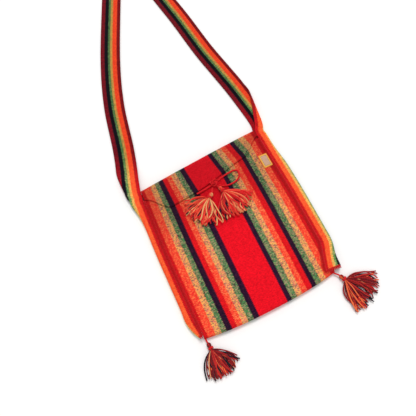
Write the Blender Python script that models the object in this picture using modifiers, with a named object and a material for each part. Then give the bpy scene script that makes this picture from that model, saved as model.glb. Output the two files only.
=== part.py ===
"""A loom-woven striped shoulder bag with a fold-over flap, lying on its back.

One long cloth is folded at the bottom into a flat pouch and again at the top into a flap. One woven
band is sewn along both sides as gussets and runs on as the shoulder strap. A tie cord with two
tassels closes the flap, and a tassel hangs from each bottom corner.

The origin is the middle of the cloth's back face. +X is the bag's right, +Y points to the mouth
and +Z points up, out of the front. Lengths are in metres.
"""

import math

import bmesh
import bpy
from mathutils import Vector

# Cloth
CLOTH_WIDTH = 0.240
BAG_LENGTH = 0.287
CLOTH_THICKNESS = 0.0022
POUCH_GAP = 0.0090
TOP_NARROWING = 0.030
LEAN = 0.018
TOP_SLANT = 0.0087
CORNER_RISE = 0.0080
CORNER_RISE_POWER = 2.5
FLAP_DEPTH_LEFT = 0.053
FLAP_DEPTH_RIGHT = 0.037
FLAP_DEPTH_CHANGES = (-0.30, 0.75)
FLAP_CORNER_START = 0.66
FLAP_CORNER_RISE = 0.65
FLAP_CLEARANCE = 0.0006
FLAP_STEP_START = 0.0055
FLAP_STEP_END = 0.0020
MOUTH_SETBACK = 0.014
SKEW_END_SHARE = 0.42

# How full the pouch is at its bottom and its mouth, and the shares of its half length to get there
BOTTOM_FULLNESS = 0.45
BOTTOM_FILL_SHARE = 0.40
MOUTH_FULLNESS = 0.75
MOUTH_FILL_SHARE = 0.45

# Rows of faces along the cloth and the band
FLAP_ROWS = 5
FOLD_ROWS = 6
BACK_ROWS = 14
FRONT_ROWS = 12
ROUTE_ROWS = 5
TURN_ROWS = 16
LEAST_ROW = 0.001

# Stripes from the middle outwards, as (colour name, width)
CENTRE_STRIPE = 0.0505
SIDE_STRIPES = (
    ("purple", 0.0095),
    ("green", 0.0095),
    ("tan", 0.0100),
    ("orange", 0.0100),
    ("red", 0.0090),
    ("purple", 0.0095),
    ("green", 0.0090),
    ("tan", 0.0100),
    ("coral", 0.0110),
)
EDGE_STRIPE = "dark_red"

# Band, from the edge sewn to the front panel across to the edge sewn to the back
BAND_STRIPES = (
    ("dark_red", 0.0060, 2),
    ("band_orange", 0.0100, 3),
    ("yellow_green", 0.0055, 2),
    ("black", 0.0080, 3),
    ("dark_red", 0.0085, 3),
)
BAND_THICKNESS = 0.0022
BAND_FOLD_RADIUS = 0.0032
SIDE_SKEW = 0.0040
STRAP_UNFOLD_LENGTH = 0.110
CORNER_LENGTH = 0.036
CORNER_GATHER = 0.75
CORNER_GATHER_POWER = 1.6
BAND_END_RISE = 0.0045

# Shoulder strap: the routes of its legs' inner edges, each measured from the cloth's upper corner on
# its side, and the middle of the turn at the top of the loop, measured from the middle of the mouth
LEFT_ROUTE = ((0.0124, 0.0165), (0.0293, 0.0790), (0.0492, 0.1719), (0.0808, 0.2662), (0.1378, 0.3996))
RIGHT_ROUTE = (
    (0.0024, 0.0315),
    (-0.0045, 0.0995),
    (-0.0115, 0.1450),
    (-0.0223, 0.2116),
    (-0.0316, 0.2991),
    (-0.0412, 0.3683),
)
LOOP_TOP = (0.0682, 0.5615)
LEFT_LEAN = math.radians(23.1)
RIGHT_LEAN = math.radians(-8.6)
LOOP_RADIUS = 0.0040
LOOP_SETTLE_LENGTH = 0.160

# Seams and clearances
CLEARANCE = 0.0003
SEAM_RADIUS = 0.0008
SEAM_PROUD = 0.0004
SEAM_END_RISE = 0.006
SEAM_END_DROP = 0.002

# Label
LABEL_WIDTH = 0.0166
LABEL_HEIGHT = 0.0255
LABEL_THICKNESS = 0.0008
LABEL_INSET = 0.0008
LABEL_CENTRE_Y = 0.0900
LABEL_STITCH_RADIUS = 0.00035
LABEL_STITCH_INSET = 0.0013

# Tie and its tassels
TIE_RADIUS = 0.0015
KNOT_SIZE = 0.0024
KNOT_TUBE_RADIUS = 0.0011
KNOT_STEPS = 48
KNOT_FLATNESS = 0.85
KNOT_LENGTHENING = 0.95
KNOT_REACH = 0.006

# Places of the tie, as x and the distance down from the top of the bag
KNOT_PLACE = (0.0068, 0.0535)
TAIL_ROUTE = ((-0.0285, 0.0587), (-0.0200, 0.0580), (-0.0105, 0.0571), (-0.0012, 0.0555))
LOOP_ROUTE = (
    (0.0160, 0.0520),
    (0.0260, 0.0490),
    (0.0390, 0.0470),
    (0.0500, 0.0467),
    (0.0550, 0.0500),
    (0.0550, 0.0560),
    (0.0515, 0.0620),
    (0.0440, 0.0663),
    (0.0340, 0.0678),
    (0.0250, 0.0667),
    (0.0170, 0.0635),
    (0.0128, 0.0603),
)
LEFT_LEG_START = (0.0010, 0.0601)
RIGHT_LEG_START = (0.0092, 0.0609)
LEG_BENDS = (0.35, 0.70)

# Tassels. A neck's place is x and the distance down, from the top of the bag for the tie's tassels
# and from the cloth's lower corner on that side for the corner tassels
WAIST_RADIUS = 0.0028
HEAD_RADIUS = 0.0038
HEAD_LENGTH = 0.0065
WRAP_TURNS = 3
WRAP_TURN_RADIUS = 0.0007
TASSEL_SIDES = 30
TASSEL_LOBES = 10
TASSEL_LOBE_DEPTH = 0.16
TASSEL_RINGS = (0.10, 0.22, 0.38, 0.55, 0.72, 0.88, 1.0)
TASSEL_UNEVENNESS = 0.06
TASSEL_THINNING = 0.45
TASSEL_LATE_SPREAD = 0.25
TASSEL_UNDERSIDE = 0.04
HEAD_RINGS = ((1.0, 0.45), (0.75, 0.90), (0.40, 1.0))
TIE_TASSEL_LEFT = {"neck": (-0.0120, 0.0745), "heading": -52.0, "spread": 42.0, "length": 0.047}
TIE_TASSEL_RIGHT = {"neck": (0.0140, 0.0730), "heading": 19.0, "spread": 39.0, "length": 0.050}
CORNER_TASSEL_LEFT = {"neck": (0.0000, 0.0095), "heading": 5.0, "spread": 34.0, "length": 0.046}
CORNER_TASSEL_RIGHT = {"neck": (0.0065, 0.0095), "heading": 27.0, "spread": 44.0, "length": 0.054}
TASSEL_THICKNESS = 0.0120
CORD_CAP_GAP = 0.0005
CORD_STRAIGHT = 0.0010
CORNER_CORD_RADIUS = 0.0013

# Sizes that follow from the ones above
HALF_LENGTH = BAG_LENGTH / 2
BAND_WIDTH = sum(width for _, width, _ in BAND_STRIPES)
JOINT = 2 * (CLEARANCE + SEAM_RADIUS)
BACK_Z = CLOTH_THICKNESS / 2
EDGE_Z = BACK_Z + 2 * BAND_FOLD_RADIUS
MIDDLE_Z = CLOTH_THICKNESS + POUCH_GAP + CLOTH_THICKNESS / 2
FLAP_LIFT = CLOTH_THICKNESS + FLAP_CLEARANCE
BACK_SHIFT = 2 * SIDE_SKEW
WRAP_RADIUS = WAIST_RADIUS + CLEARANCE + 2 * WRAP_TURN_RADIUS
WRAP_LENGTH = 2 * WRAP_TURN_RADIUS * WRAP_TURNS

COLOURS = {
    "red": (208, 20, 30),
    "centre_red": (225, 15, 30),
    "dark_red": (176, 20, 24),
    "coral": (240, 75, 52),
    "orange": (242, 85, 55),
    "tan": (205, 133, 92),
    "green": (105, 125, 88),
    "purple": (45, 17, 42),
    "band_orange": (245, 88, 48),
    "yellow_green": (165, 160, 88),
    "black": (10, 8, 20),
    "thread_red": (150, 18, 26),
    "tie_red": (190, 24, 30),
    "yarn_red": (186, 44, 34),
    "label_cream": (205, 150, 110),
    "label_yellow": (245, 180, 80),
}


def linear(value):
    """One sRGB channel, 0 to 255, as the linear value that a shader takes."""
    share = value / 255
    if share <= 0.04045:
        return share / 12.92
    return ((share + 0.055) / 1.055) ** 2.4


def material(name, roughness=0.9):
    """The wool or cotton material of one colour, made once."""
    found = bpy.data.materials.get(name)
    if found:
        return found
    made = bpy.data.materials.new(name)
    made.use_nodes = True
    shader = made.node_tree.nodes["Principled BSDF"]
    red, green, blue = COLOURS[name]
    shader.inputs["Base Color"].default_value = (linear(red), linear(green), linear(blue), 1)
    shader.inputs["Roughness"].default_value = roughness
    shader.inputs["Metallic"].default_value = 0
    made.diffuse_color = (red / 255, green / 255, blue / 255, 1)
    return made


def ease(share):
    """A smooth step from 0 to 1."""
    share = min(1, max(0, share))
    return share * share * (3 - 2 * share)


def mix(first, second, share):
    return first + (second - first) * share


def add_object(name, data, materials):
    made = bpy.data.objects.new(name, data)
    for one in materials:
        data.materials.append(one)
    collection.objects.link(made)
    return made


def sheet_object(name, rows, columns, thickness):
    """A woven sheet: rows of points across the cloth, given thickness by a Solidify modifier.

    columns holds the colour name of each strip between two neighbouring points of a row.
    """
    mesh = bpy.data.meshes.new(name)
    names = list(dict.fromkeys(columns))
    build = bmesh.new()
    grid = [[build.verts.new(point) for point in row] for row in rows]
    for low, high in zip(grid, grid[1:]):
        for index, colour in enumerate(columns):
            corners = (low[index], low[index + 1], high[index + 1], high[index])
            face = build.faces.new(corners)
            face.material_index = names.index(colour)
            face.smooth = True
    build.to_mesh(mesh)
    build.free()
    made = add_object(name, mesh, [material(one) for one in names])
    solid = made.modifiers.new("Thickness", "SOLIDIFY")
    solid.thickness = thickness
    solid.offset = 0
    solid.use_even_offset = True
    return made


def tube_object(name, points, radius, colour, cyclic=False, resolution=2):
    """A cord or thread: a poly curve with a round bevel and filled ends."""
    curve = bpy.data.curves.new(name, "CURVE")
    curve.dimensions = "3D"
    curve.bevel_depth = radius
    curve.bevel_resolution = resolution
    curve.use_fill_caps = not cyclic
    spline = curve.splines.new("POLY")
    spline.points.add(len(points) - 1)
    for target, point in zip(spline.points, points):
        target.co = (*point, 1)
    spline.use_cyclic_u = cyclic
    return add_object(name, curve, [material(colour)])


def smooth_route(points, per_span):
    """Points on a smooth curve that passes through the given ones."""
    ends = [2 * Vector(points[0]) - Vector(points[1]), 2 * Vector(points[-1]) - Vector(points[-2])]
    through = [ends[0], *map(Vector, points), ends[1]]
    found = []
    for before, start, finish, after in zip(through, through[1:], through[2:], through[3:]):
        for step in range(per_span):
            t = step / per_span
            found.append(
                0.5
                * (
                    2 * start
                    + (finish - before) * t
                    + (2 * before - 5 * start + 4 * finish - after) * t**2
                    + (3 * start - before - 3 * finish + after) * t**3
                )
            )
    found.append(Vector(points[-1]))
    return found


# The cloth


def top_y(across):
    """Where the top fold lies, for a place across the cloth from -1 at the left to 1 at the right."""
    return HALF_LENGTH + TOP_SLANT * across


def bottom_y(across):
    return -HALF_LENGTH + CORNER_RISE * abs(across) ** CORNER_RISE_POWER


def mouth_y(across):
    """The front panel's top hem, hidden under the flap."""
    return top_y(across) - MOUTH_SETBACK


def half_width(y):
    return CLOTH_WIDTH / 2 * (1 - TOP_NARROWING * ease(y / HALF_LENGTH))


def skew(y):
    """The share of the sideways shift between front and back at a height: full at the middle."""
    end = SKEW_END_SHARE * HALF_LENGTH
    return ease((mouth_y(-1) - y) / end) * ease((y - bottom_y(1)) / end)


def cloth_x(across, y):
    return LEAN * y + across * half_width(y)


def back_x(across, y):
    return cloth_x(across, y) + BACK_SHIFT * skew(y)


def front_z(across, y):
    """Middle of the front panel's thickness: low at the sides, fuller at the middle of the pouch."""
    low = mix(BOTTOM_FULLNESS, 1, ease((1 + y / HALF_LENGTH) / BOTTOM_FILL_SHARE))
    high = mix(MOUTH_FULLNESS, 1, ease((1 - y / HALF_LENGTH) / MOUTH_FILL_SHARE))
    return EDGE_Z + (MIDDLE_Z - EDGE_Z) * (1 - across**2) * low * high


def flap_y(across):
    """The flap's edge, with its two corners drawn up."""
    start, finish = FLAP_DEPTH_CHANGES
    depth = mix(FLAP_DEPTH_LEFT, FLAP_DEPTH_RIGHT, ease((across - start) / (finish - start)))
    corner = ease((abs(across) - FLAP_CORNER_START) / (1 - FLAP_CORNER_START))
    return top_y(across) - depth * (1 - FLAP_CORNER_RISE * corner)


def top_fold_radius(across):
    return (front_z(across, mouth_y(across)) + FLAP_LIFT - BACK_Z) / 2


def bottom_fold_radius(across):
    return (front_z(across, bottom_y(across)) - BACK_Z) / 2


def back_levels(across):
    """Heights of the rows on the back panel, from the top fold down to the bottom fold."""
    high = top_y(across) - top_fold_radius(across)
    low = bottom_y(across) + bottom_fold_radius(across)
    return [mix(high, low, step / BACK_ROWS) for step in range(BACK_ROWS + 1)]


def edge_levels(side, low, high):
    """The back panel's rows between two heights, bottom first, so that edges meet all the way."""
    rows = [y for y in back_levels(side) if low + LEAST_ROW < y < high - LEAST_ROW]
    return [low] + rows[::-1] + [high]


def cloth_column(across):
    """The cloth's path at one place across it: flap, top fold, back, bottom fold and front."""
    top_radius = top_fold_radius(across)
    crown = BACK_Z + 2 * top_radius
    bottom_radius = bottom_fold_radius(across)
    levels = back_levels(across)
    top_centre = levels[0]
    bottom_centre = levels[-1]
    path = []
    for step in range(FLAP_ROWS):
        y = mix(flap_y(across), top_centre, step / FLAP_ROWS)
        height = mix(front_z(across, y) + FLAP_LIFT, crown, ease(step / FLAP_ROWS))
        path.append((cloth_x(across, y), y, height))
    for step in range(FOLD_ROWS + 1):
        angle = math.pi * step / FOLD_ROWS
        y = top_centre + top_radius * math.sin(angle)
        path.append((cloth_x(across, y), y, BACK_Z + top_radius * (1 + math.cos(angle))))
    for y in levels[1:-1]:
        path.append((back_x(across, y), y, BACK_Z))
    for step in range(FOLD_ROWS + 1):
        angle = math.pi * step / FOLD_ROWS
        y = bottom_centre - bottom_radius * math.sin(angle)
        path.append((cloth_x(across, y), y, BACK_Z + bottom_radius * (1 - math.cos(angle))))
    for step in range(1, FRONT_ROWS + 1):
        y = mix(bottom_centre, mouth_y(across), step / FRONT_ROWS)
        path.append((cloth_x(across, y), y, front_z(across, y)))
    return path


def cloth_stripes():
    """Places across the cloth where a strip ends, from -1 to 1, and the strips' colour names."""
    half = CLOTH_WIDTH / 2
    right = [CENTRE_STRIPE / 2]
    for _, width in SIDE_STRIPES:
        right.append(right[-1] + width)
    right.append(half)
    places = [-x / half for x in reversed(right)] + [0] + [x / half for x in right]
    side = [name for name, _ in SIDE_STRIPES] + [EDGE_STRIPE]
    return places, side[::-1] + ["centre_red", "centre_red"] + side


def make_cloth():
    places, colours = cloth_stripes()
    columns = [cloth_column(across) for across in places]
    sheet_object("body_cloth", list(zip(*columns)), colours, CLOTH_THICKNESS)


# The band


def band_places():
    """Places across the band where a strip ends, and the strips' colour names."""
    places = [0]
    colours = []
    for name, width, strips in BAND_STRIPES:
        start = places[-1]
        places.extend(start + width * step / strips for step in range(1, strips + 1))
        colours.extend([name] * strips)
    return places, colours


def band_section(fold, places):
    """The band's section, folded lengthwise about one place: outward distance and height."""
    bend = math.pi * BAND_FOLD_RADIUS
    start = fold - bend / 2

    def path(place):
        turned = min(bend, max(0, place - start))
        angle = turned / BAND_FOLD_RADIUS
        straight = min(place, start) - max(0, place - start - bend)
        return straight + BAND_FOLD_RADIUS * math.sin(angle), -BAND_FOLD_RADIUS * (1 - math.cos(angle))

    found = [path(place) for place in places]
    lowest = min(height for _, height in found)
    return [(out, height - lowest) for out, height in found]


def corner_gather(y):
    """How far the band's width is drawn in where it runs out at a bottom corner."""
    start = bottom_y(1) + BAND_END_RISE + CORNER_LENGTH
    return 1 - CORNER_GATHER * min(1, max(0, (start - y) / CORNER_LENGTH)) ** CORNER_GATHER_POWER


def from_corner(side, route):
    """A strap leg's route, from its places measured from the cloth's upper corner on that side."""
    return [(side * CLOTH_WIDTH / 2 + x, HALF_LENGTH + y) for x, y in route]


def loop_top():
    return Vector((LOOP_TOP[0], HALF_LENGTH + LOOP_TOP[1]))


def left_stations():
    """Inner edge, fold place and gather of each station up the left gusset and strap leg."""
    side = -1
    sewn = edge_levels(side, bottom_y(side) + BAND_END_RISE, top_y(side))
    edge = [(cloth_x(side, y) - JOINT, y) for y in sewn]
    turn = on_turn(-turn_length()[1], -BAND_WIDTH / 2).to_2d()
    route = smooth_route([edge[-1], *from_corner(side, LEFT_ROUTE), turn], ROUTE_ROWS)[1:-1]
    stations = []
    for x, y in edge + [tuple(point) for point in route]:
        unfolded = ease((y - mouth_y(side)) / STRAP_UNFOLD_LENGTH)
        folded_at = BAND_WIDTH / 2 - SIDE_SKEW * skew(y)
        flat_at = BAND_WIDTH + math.pi * BAND_FOLD_RADIUS / 2
        stations.append((Vector((x, y)), mix(folded_at, flat_at, unfolded), corner_gather(y)))
    return stations


def right_stations():
    """The same for the right leg, from the turn at the loop's top down to the bottom corner."""
    side = 1
    sewn = edge_levels(side, bottom_y(side) + BAND_END_RISE, top_y(side))
    edge = [(back_x(side, y) + JOINT, y) for y in sewn]
    turn = on_turn(sum(turn_length()), BAND_WIDTH / 2).to_2d()
    route = smooth_route([edge[-1], *from_corner(side, RIGHT_ROUTE), turn], ROUTE_ROWS)[1:-1]
    stations = []
    for x, y in edge + [tuple(point) for point in route]:
        unfolded = ease((y - mouth_y(side)) / STRAP_UNFOLD_LENGTH)
        folded_at = BAND_WIDTH / 2 + SIDE_SKEW * skew(y)
        flat_at = -math.pi * BAND_FOLD_RADIUS / 2
        stations.append((Vector((x, y)), mix(folded_at, flat_at, unfolded), corner_gather(y)))
    return stations[::-1]


def turn_axes():
    """The fold line of the turn at the loop's top, the way across it, and the left leg's share of each."""
    up = Vector((math.sin(LEFT_LEAN), math.cos(LEFT_LEAN)))
    down = Vector((-math.sin(RIGHT_LEAN), -math.cos(RIGHT_LEAN)))
    axis = (up + down).normalized()
    away = Vector((-axis.y, axis.x))
    return axis, away, up.dot(axis), up.dot(away)


def turn_length():
    """How far along the band the turn reaches, and how much further its slanting ends reach."""
    _, _, slanted, straight = turn_axes()
    return math.pi * LOOP_RADIUS / straight, BAND_WIDTH / 2 * slanted / straight + LEAST_ROW


def on_turn(distance, across):
    """A point of the band near the turn: flat before it, round half a cylinder, and flat on top.

    distance runs along the band from the loop's top, and across runs from the band's middle.
    """
    axis, away, slanted, straight = turn_axes()
    along_fold = slanted * distance - straight * across
    unrolled = straight * distance + slanted * across
    half_turn = math.pi * LOOP_RADIUS
    angle = min(half_turn, max(0, unrolled)) / LOOP_RADIUS
    reach = min(0, unrolled) - max(0, unrolled - half_turn) + LOOP_RADIUS * math.sin(angle)
    height = BAND_THICKNESS / 2 + LOOP_RADIUS * (1 - math.cos(angle))
    return Vector((*(loop_top() + axis * along_fold + away * reach), height))


def station_rows(stations, turned, places):
    """Rows of points across the band. turned is 1 on the left leg and -1 on the right one."""
    rows = []
    for index, (edge, fold, gather) in enumerate(stations):
        before = stations[max(0, index - 1)][0]
        after = stations[min(len(stations) - 1, index + 1)][0]
        run = (after - before).normalized()
        outward = Vector((-run.y, run.x))
        section = band_section(fold, places)
        start = section[0][0] if turned > 0 else section[-1][0]
        lift = 0
        if turned < 0:
            gone = (edge - stations[0][0]).length / LOOP_SETTLE_LENGTH
            lift = LOOP_RADIUS * (1 + math.cos(math.pi * min(1, gone)))
        rows.append(
            [
                (*(edge + outward * (out - start) * gather), BAND_THICKNESS / 2 + height + lift)
                for out, height in section
            ]
        )
    return rows


def make_band():
    places, colours = band_places()
    rows = station_rows(left_stations(), 1, places)
    length, margin = turn_length()
    for step in range(TURN_ROWS + 1):
        distance = mix(-margin, length + margin, step / TURN_ROWS)
        rows.append([on_turn(distance, place - BAND_WIDTH / 2) for place in places])
    rows += station_rows(right_stations(), -1, places)
    sheet_object("strap_band", rows, colours, BAND_THICKNESS)


# The seams


def make_seams():
    """Overcast thread that fills the joint between the cloth's edges and the band."""
    off_edge = CLEARANCE + SEAM_RADIUS
    for side_name, side in (("left", -1), ("right", 1)):
        levels = edge_levels(side, bottom_y(side) + SEAM_END_RISE, mouth_y(side) - SEAM_END_DROP)
        front = [(cloth_x(side, y) + side * off_edge, y, front_z(side, y) + SEAM_PROUD) for y in levels]
        back = [(back_x(side, y) + side * off_edge, y, BACK_Z) for y in levels]
        tube_object("seam_front_" + side_name, front, SEAM_RADIUS, "thread_red", resolution=1)
        tube_object("seam_back_" + side_name, back, SEAM_RADIUS, "thread_red", resolution=1)


# The label


def make_label():
    """A small woven label beside the right seam, and the thread that holds it."""
    right = cloth_x(1, LABEL_CENTRE_Y) - LABEL_INSET
    face = CLOTH_THICKNESS / 2 + CLEARANCE + LABEL_THICKNESS / 2

    def point(across, up, height):
        x = right - LABEL_WIDTH / 2 + across
        y = LABEL_CENTRE_Y + up
        place = (x - LEAN * y) / half_width(y)
        return x, y, front_z(place, y) + height

    rows = [
        [point(LABEL_WIDTH * (i / 4 - 0.5), LABEL_HEIGHT * (j / 5 - 0.5), face) for i in range(5)]
        for j in range(6)
    ]
    border = ["label_yellow", "label_cream", "label_cream", "label_yellow"]
    sheet_object("woven_label", rows, border, LABEL_THICKNESS)
    out = LABEL_WIDTH / 2 - LABEL_STITCH_INSET
    up = LABEL_HEIGHT / 2 - LABEL_STITCH_INSET
    above = face + LABEL_THICKNESS / 2 + CLEARANCE + LABEL_STITCH_RADIUS
    corners = [(-out, -up), (out, -up), (out, up), (-out, up)]
    ring = []
    for start, finish in zip(corners, corners[1:] + corners[:1]):
        ring += [tuple(mix(a, b, step / 4) for a, b in zip(start, finish)) for step in range(4)]
    thread = [point(x, y, above) for x, y in ring]
    tube_object("label_stitching", thread, LABEL_STITCH_RADIUS, "label_yellow", cyclic=True, resolution=1)


# The tie


def from_top(place):
    """A place on the front, from x and the distance down from the top of the bag."""
    return place[0], HALF_LENGTH - place[1]


def front_face_z(x, y):
    """The outer face of the front panel, or of the flap where it covers the front."""
    across = (x - LEAN * y) / half_width(y)
    over = ease((y - (flap_y(across) - FLAP_STEP_START)) / (FLAP_STEP_START - FLAP_STEP_END))
    return front_z(across, y) + CLOTH_THICKNESS / 2 + FLAP_LIFT * over


def floor_z(x, y):
    return 0.0


def laid(points, radius, face):
    """The points of a route, raised to lie on a face."""
    return [(x, y, face(x, y) + CLEARANCE + radius) for x, y in points]


def head_end(tassel, face):
    """Where a cord meets the back of a tassel's head, and the way it arrives."""
    neck, along, _ = tassel_frame(tassel)
    place = neck - along * (HEAD_LENGTH + WRAP_LENGTH / 2 + CLEARANCE + CORD_CAP_GAP)
    return Vector((*place, face(*neck) + CLEARANCE + WRAP_RADIUS)), Vector((*along, 0))


def make_cord_to_head(name, start, tassel):
    """A short leg of the tie, from the knot up to the back of a tassel's head."""
    first = Vector(laid([from_top(start)], TIE_RADIUS, front_face_z)[0])
    finish, along = head_end(tassel, front_face_z)
    arriving = finish - along * CORD_STRAIGHT
    points = [first, *(first.lerp(arriving, share) for share in LEG_BENDS), arriving, finish]
    tube_object(name, points, TIE_RADIUS, "tie_red")


def make_knot():
    """The knot, as a closed trefoil tube pressed flat and resting on the flap's edge."""
    x, y = from_top(KNOT_PLACE)
    corners = [(x + dx, y + dy) for dx in (-KNOT_REACH, KNOT_REACH) for dy in (-KNOT_REACH, KNOT_REACH)]
    flat_size = KNOT_SIZE * KNOT_FLATNESS
    middle = max(front_face_z(*corner) for corner in corners) + CLEARANCE + flat_size + KNOT_TUBE_RADIUS
    knot = []
    for step in range(KNOT_STEPS):
        turn = 2 * math.pi * step / KNOT_STEPS
        wide = KNOT_SIZE * KNOT_LENGTHENING * (math.sin(turn) + 2 * math.sin(2 * turn))
        deep = flat_size * (math.cos(turn) - 2 * math.cos(2 * turn))
        knot.append((x + wide, y + deep, middle - flat_size * math.sin(3 * turn)))
    tube_object("tie_knot", knot, KNOT_TUBE_RADIUS, "tie_red", cyclic=True)


def make_tie():
    """The tie cord's runs and the knot that joins them."""
    for name, route in (("tie_cord_tail", TAIL_ROUTE), ("tie_cord_loop", LOOP_ROUTE)):
        points = [tuple(point) for point in smooth_route([from_top(place) for place in route], 3)]
        tube_object(name, laid(points, TIE_RADIUS, front_face_z), TIE_RADIUS, "tie_red")
    make_cord_to_head("tie_cord_leg_left", LEFT_LEG_START, tie_tassel(TIE_TASSEL_LEFT))
    make_cord_to_head("tie_cord_leg_right", RIGHT_LEG_START, tie_tassel(TIE_TASSEL_RIGHT))
    make_knot()


# The tassels


def tie_tassel(tassel):
    """A tie tassel with its neck placed on the front."""
    return {**tassel, "neck": from_top(tassel["neck"])}


def corner_tassel(side, tassel):
    """A corner tassel with its neck placed below the cloth's lower corner."""
    x, down = tassel["neck"]
    return {**tassel, "neck": (side * CLOTH_WIDTH / 2 + x, -HALF_LENGTH - down)}


def tassel_frame(tassel):
    """Where a tassel's neck is, the way its yarns run and the way across them."""
    heading = math.radians(tassel["heading"])
    along = Vector((math.sin(heading), -math.cos(heading)))
    return Vector(tassel["neck"]), along, Vector((-along.y, along.x))


def yarn_ring(tassel, share, face):
    """One ring of the skirt, a share of the way from the neck to the yarns' ends."""
    neck, along, sideways = tassel_frame(tassel)
    spread = math.radians(tassel["spread"])
    waist_z = face(*neck) + CLEARANCE + WRAP_RADIUS
    start = neck + along * (WRAP_LENGTH / 2 + CLEARANCE)
    ring = []
    for side in range(TASSEL_SIDES):
        angle = 2 * math.pi * side / TASSEL_SIDES
        lobe = 1 + TASSEL_LOBE_DEPTH * share * math.cos(TASSEL_LOBES * angle)
        out = math.cos(angle)
        ripple = math.sin(7 * out + 2 * math.sin(angle) + tassel["heading"])
        reach = tassel["length"] * share * (1 + TASSEL_UNEVENNESS * share**3 * ripple)
        turn = spread * out * (1 - TASSEL_LATE_SPREAD * (1 - share) ** 2)
        place = start + along * reach * math.cos(turn) + sideways * reach * math.sin(turn)
        place += sideways * WAIST_RADIUS * out * (1 - share)
        laid_out = TASSEL_THICKNESS * (1 - TASSEL_THINNING * share)
        thickness = mix(2 * WAIST_RADIUS, laid_out, ease(share * 3))
        rise = (1 + math.sin(angle) * lobe) / 2
        resting = face(*place) + CLEARANCE + thickness * max(TASSEL_UNDERSIDE * share, rise)
        held = waist_z + WAIST_RADIUS * math.sin(angle)
        ring.append((*place, mix(held, resting, ease(share * 4))))
    return ring


def head_ring(tassel, back, radius, face):
    """One round ring of the tassel's head, some way behind the neck."""
    neck, along, sideways = tassel_frame(tassel)
    waist_z = face(*neck) + CLEARANCE + WRAP_RADIUS
    ring = []
    for side in range(TASSEL_SIDES):
        angle = 2 * math.pi * side / TASSEL_SIDES
        place = neck - along * back + sideways * radius * math.cos(angle)
        ring.append((*place, waist_z + radius * math.sin(angle)))
    return ring


def make_tassel(name, tassel, face):
    """A bundle of yarns: a round head, a waist and a skirt that fans out where it lies."""
    behind = WRAP_LENGTH / 2 + CLEARANCE
    rings = [
        head_ring(tassel, behind + HEAD_LENGTH * back, HEAD_RADIUS * size, face) for back, size in HEAD_RINGS
    ]
    rings += [head_ring(tassel, place, WAIST_RADIUS, face) for place in (behind, -behind)]
    rings += [yarn_ring(tassel, share, face) for share in TASSEL_RINGS]
    build = bmesh.new()
    rows = [[build.verts.new(point) for point in ring] for ring in rings]
    for low, high in zip(rows, rows[1:]):
        for side in range(TASSEL_SIDES):
            after = (side + 1) % TASSEL_SIDES
            build.faces.new((low[side], low[after], high[after], high[side]))
    for row in (rows[0], rows[-1]):
        middle = build.verts.new(sum((vert.co for vert in row), Vector()) / TASSEL_SIDES)
        for side in range(TASSEL_SIDES):
            build.faces.new((row[side], row[(side + 1) % TASSEL_SIDES], middle))
    bmesh.ops.recalc_face_normals(build, faces=build.faces)
    for made_face in build.faces:
        made_face.smooth = True
    mesh = bpy.data.meshes.new(name + "_yarns")
    build.to_mesh(mesh)
    build.free()
    add_object(name + "_yarns", mesh, [material("yarn_red")])
    make_wrap(name + "_wrap", tassel, face)


def make_wrap(name, tassel, face):
    """The yarn wound round a tassel's waist: a turned profile with one ridge for each turn."""
    inner = WAIST_RADIUS + CLEARANCE
    profile = [(inner, -WRAP_LENGTH / 2), (inner, WRAP_LENGTH / 2)]
    for turn in range(WRAP_TURNS):
        top = WRAP_LENGTH / 2 - 2 * WRAP_TURN_RADIUS * turn
        for angle in (30, 90, 150):
            bulge = WRAP_TURN_RADIUS * (1 + math.sin(math.radians(angle)))
            profile.append((inner + bulge, top - WRAP_TURN_RADIUS * (1 - math.cos(math.radians(angle)))))
    build = bmesh.new()
    verts = [build.verts.new((radius, 0, height)) for radius, height in profile]
    for start, finish in zip(verts, verts[1:] + verts[:1]):
        build.edges.new((start, finish))
    mesh = bpy.data.meshes.new(name)
    build.to_mesh(mesh)
    build.free()
    made = add_object(name, mesh, [material("tie_red")])
    turned = made.modifiers.new("Turned", "SCREW")
    turned.steps = 14
    turned.render_steps = 14
    turned.use_merge_vertices = True
    turned.merge_threshold = 0.00001
    neck, along, _ = tassel_frame(tassel)
    made.location = (*neck, face(*neck) + CLEARANCE + WRAP_RADIUS)
    made.rotation_euler = Vector((*along, 0)).to_track_quat("Z", "Y").to_euler()


def make_corner_cord(name, side, tassel):
    """The short cord from a bottom corner of the bag to its tassel's head."""
    finish, along = head_end(tassel, floor_z)
    across = side * (1 - 2 * CORNER_CORD_RADIUS / CLOTH_WIDTH)
    inner = side * (1 - 6 * CORNER_CORD_RADIUS / CLOTH_WIDTH)
    y = bottom_y(inner) - CLOTH_THICKNESS / 2 - 2 * CLEARANCE
    start = Vector((cloth_x(across, y), y, BACK_Z + BAND_FOLD_RADIUS))
    leaving = start + Vector((0, -CORD_STRAIGHT, 0))
    arriving = finish - along * CORD_STRAIGHT
    tube_object(name, [start, leaving, arriving, finish], CORNER_CORD_RADIUS, "tie_red")


def make_tassels():
    make_tassel("tie_tassel_left", tie_tassel(TIE_TASSEL_LEFT), front_face_z)
    make_tassel("tie_tassel_right", tie_tassel(TIE_TASSEL_RIGHT), front_face_z)
    for side_name, side, sizes in (("left", -1, CORNER_TASSEL_LEFT), ("right", 1, CORNER_TASSEL_RIGHT)):
        tassel = corner_tassel(side, sizes)
        make_tassel("corner_tassel_" + side_name, tassel, floor_z)
        make_corner_cord("corner_cord_" + side_name, side, tassel)


for old in list(bpy.data.objects):
    bpy.data.objects.remove(old, do_unlink=True)
collection = bpy.data.collections.new("woven_shoulder_bag")
bpy.context.scene.collection.children.link(collection)
make_cloth()
make_band()
make_seams()
make_label()
make_tie()
make_tassels()
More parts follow.
